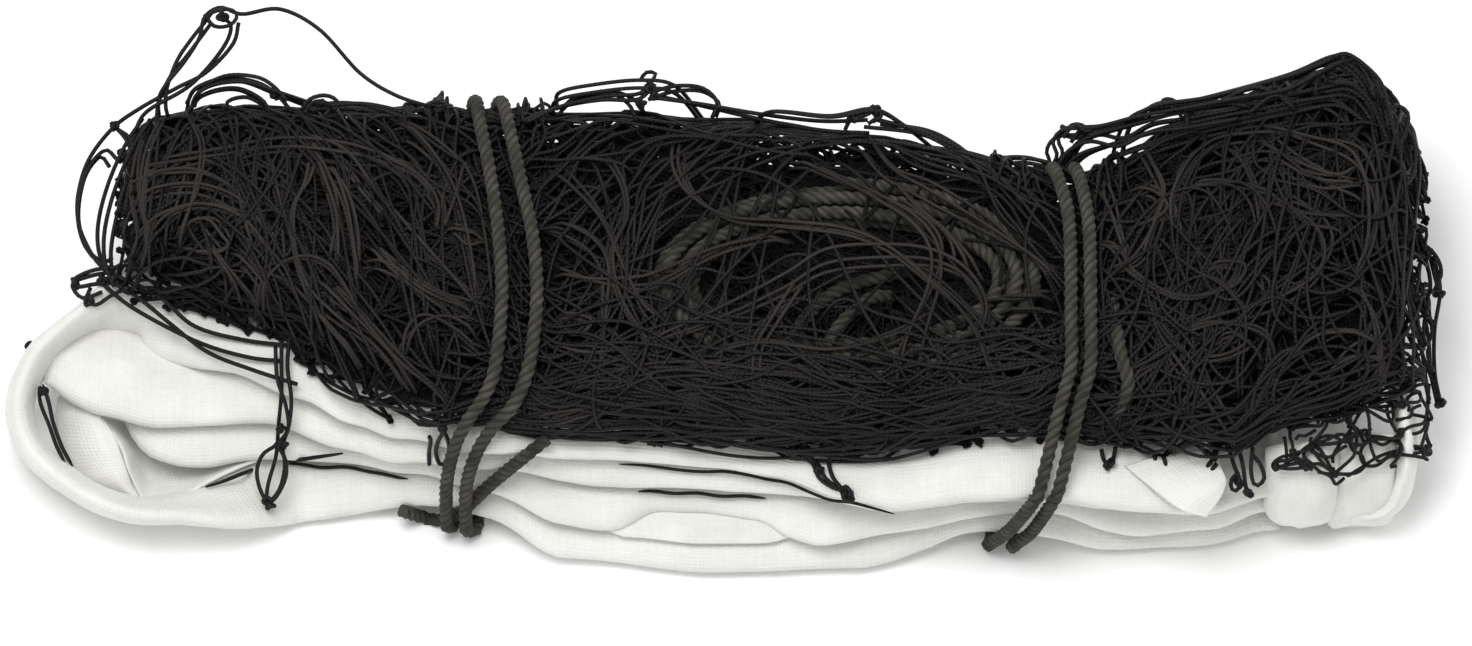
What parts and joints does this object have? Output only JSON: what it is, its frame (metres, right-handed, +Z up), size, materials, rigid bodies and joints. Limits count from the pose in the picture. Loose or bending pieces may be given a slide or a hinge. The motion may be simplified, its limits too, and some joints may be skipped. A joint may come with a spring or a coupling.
{
  "type": "folded volleyball net",
  "caption": "Knotted net folded lengthwise along its canvas headband and tied with rope into a bundle for storage.",
  "frame": {"origin": "middle of the bundle's box, on the surface it lies on", "axes": "+X along the bundle towards its open net corner, -Y towards the headband's front edge, +Z up"},
  "size_m": [0.6015, 0.215, 0.114],
  "materials": {
    "canvas": "coarse plain weave, matt, off-white",
    "twine": "black knotted twine, faint sheen",
    "rope": "three-strand twisted rope, dark olive grey"
  },
  "bodies": {
    "root": {"headband_inner_curl": "canvas", "headband_inner_folds": "canvas", "headband_outer_fold": "canvas", "headband_right_flap": "canvas", "headband_right_rim": "canvas", "headband_second_run": "canvas", "headband_third_run": "canvas", "headband_tuck": "canvas", "headline_coil": "rope", "lacing_front": "twine", "lacing_left": "twine", "lacing_middle": "twine", "left_tie": "rope", "left_tie_hitch": "rope", "left_tie_stub": "rope", "netting_apex_loop": "twine", "netting_corner_knot": "twine", "netting_drape_strand": "twine", "netting_hanging_centre": "twine", "netting_hanging_left": "twine", "netting_hanging_pair": "twine", "netting_hanging_right": "twine", "netting_left_cross_strand": "twine", "netting_left_end": "twine", "netting_left_long_strand": "twine", "netting_left_loop": "twine", "netting_middle": "twine", "netting_middle_cross_strand": "twine", "netting_middle_long_strand": "twine", "netting_open_edge": "twine", "netting_right_cross_strand": "twine", "netting_right_end": "twine", "netting_right_long_strand": "twine", "netting_right_loop": "twine", "netting_right_strip": "twine", "netting_stray_leg": "twine", "netting_stray_loop": "twine", "netting_top_loop_centre": "twine", "netting_top_loop_left": "twine", "netting_top_loop_middle": "twine", "right_tie": "rope", "right_tie_bight": "rope"}
  },
  "joints": []
}
